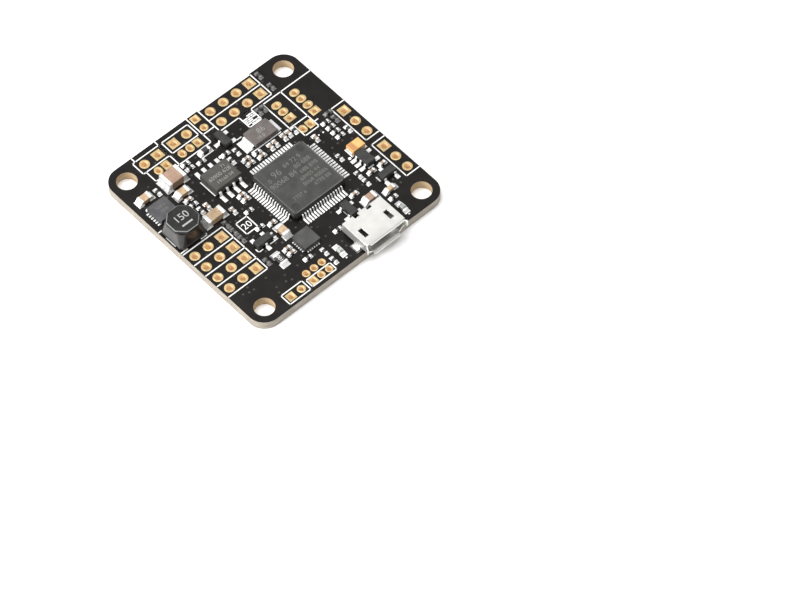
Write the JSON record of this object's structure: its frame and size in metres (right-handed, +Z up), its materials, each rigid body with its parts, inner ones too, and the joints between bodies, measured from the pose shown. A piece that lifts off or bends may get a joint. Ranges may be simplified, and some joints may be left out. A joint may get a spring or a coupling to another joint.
{
  "type": "flight controller board",
  "caption": "Square black flight controller board with corner mounting holes, gold plated header holes, a square processor, a choke and a micro receptacle at one edge.",
  "frame": {"origin": "centre of the square of mounting holes, on the board's underside", "axes": "+Z up through the board to the parts side; the micro receptacle opens towards -Y; the four by two header is at +Y"},
  "size_m": [0.036, 0.0371, 0.0052],
  "materials": {
    "laminate": "matte sawn edge",
    "solder_mask": "satin black lacquer",
    "gold_plating": "thin immersion gold",
    "bright_solder": "bright tin",
    "package_black": "matte moulded",
    "package_grey": "matte moulded",
    "package_violet": "satin moulded",
    "package_brown": "satin moulded",
    "ceramic_beige": "fired ceramic",
    "ceramic_brown": "fired ceramic",
    "resistor_face": "glazed",
    "ferrite": "sintered",
    "winding_coat": "resin",
    "tantalum_yellow": "moulded",
    "white_plastic": "moulded",
    "lens_clear": "clear moulded",
    "steel": "bright plated",
    "insulator": "moulded"
  },
  "bodies": {
    "root": {"board_core": "laminate", "solder_mask_top": "solder_mask", "solder_mask_bottom": "solder_mask", "solder_lands": "bright_solder", "plated_holes_left_header": "gold_plating", "plated_holes_top_header": "gold_plating", "plated_holes_right_headers": "gold_plating", "plated_holes_boxed_pairs": "gold_plating", "plated_holes_inner_rows": "gold_plating", "plated_holes_bottom_rows": "gold_plating", "processor_body": "package_grey", "processor_leads": "bright_solder", "memory_chip_body": "package_grey", "memory_chip_leads": "bright_solder", "motion_sensor_body": "package_black", "motion_sensor_contacts": "bright_solder", "buck_regulator_body": "package_violet", "buck_regulator_contacts": "bright_solder", "low_drop_regulator_body": "package_black", "low_drop_regulator_leads": "bright_solder", "surge_guard_body": "package_black", "surge_guard_leads": "bright_solder", "transistor_body": "package_black", "transistor_leads": "bright_solder", "power_diode_body": "package_brown", "power_diode_terminals": "bright_solder", "tantalum_body": "tantalum_yellow", "tantalum_terminals": "bright_solder", "choke_core": "ferrite", "choke_winding": "winding_coat", "choke_terminals": "bright_solder", "receptacle_shell": "steel", "receptacle_insulator": "insulator", "receptacle_contacts": "gold_plating", "small_diode_body": "package_black", "small_diode_ends": "bright_solder", "status_light_body": "white_plastic", "status_light_lens": "lens_clear", "status_light_ends": "bright_solder", "capacitor_0402_body": "ceramic_beige", "capacitor_0402_ends": "bright_solder", "capacitor_0603_body": "ceramic_beige", "capacitor_0603_ends": "bright_solder", "capacitor_0805_body": "ceramic_beige", "capacitor_0805_ends": "bright_solder", "capacitor_0805_port_body": "ceramic_brown", "capacitor_0805_port_ends": "bright_solder", "capacitor_1206_body": "ceramic_beige", "capacitor_1206_ends": "bright_solder", "capacitor_1210_body": "ceramic_brown", "capacitor_1210_ends": "bright_solder", "resistor_0402_body": "resistor_face", "resistor_0402_ends": "bright_solder", "resistor_0805_body": "resistor_face", "resistor_0805_ends": "bright_solder"}
  },
  "joints": []
}
